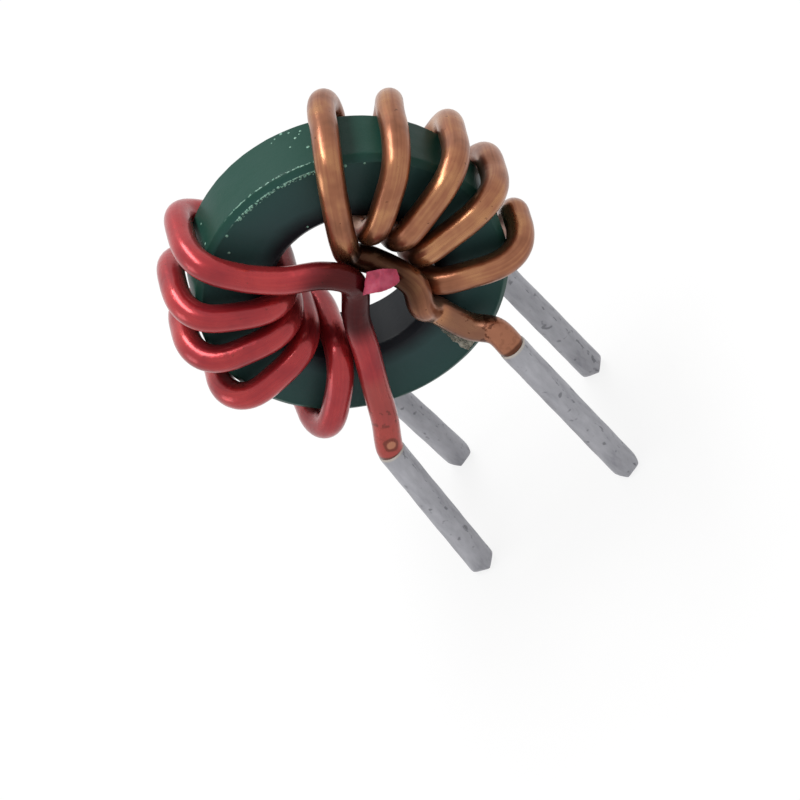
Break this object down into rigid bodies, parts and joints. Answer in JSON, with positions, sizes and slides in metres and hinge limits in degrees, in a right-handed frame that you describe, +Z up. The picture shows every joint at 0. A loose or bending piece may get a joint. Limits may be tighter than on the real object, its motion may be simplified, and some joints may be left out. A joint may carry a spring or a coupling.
{
  "type": "toroidal inductor",
  "caption": "Ring-core inductor with two formed windings of thick enamelled wire, one red and one copper-coloured, and straight tinned leads for board mounting.",
  "frame": {"origin": "level with the four lead tips, straight below the centre of the core", "axes": "+Z up, away from the board, +Y along the core's own axis from its front face to its back face, +X towards the copper-coloured winding"},
  "size_m": [0.0216, 0.0113, 0.0299],
  "materials": {
    "core_coat": "satin epoxy coat, dark green, lightly scuffed at the rounded edges",
    "red_enamel": "glossy red wire enamel, scorched brown by the stripped end",
    "copper_enamel": "glossy clear wire enamel over copper, scorched by the stripped end",
    "tin": "dull solder coat with small dark specks",
    "adhesive": "matt cured adhesive"
  },
  "bodies": {
    "root": {"core": "core_coat", "red_winding": "red_enamel", "copper_winding": "copper_enamel", "red_front_tinning": "tin", "red_back_tinning": "tin", "copper_front_tinning": "tin", "copper_back_tinning": "tin", "fixing_dab": "adhesive"}
  },
  "joints": []
}
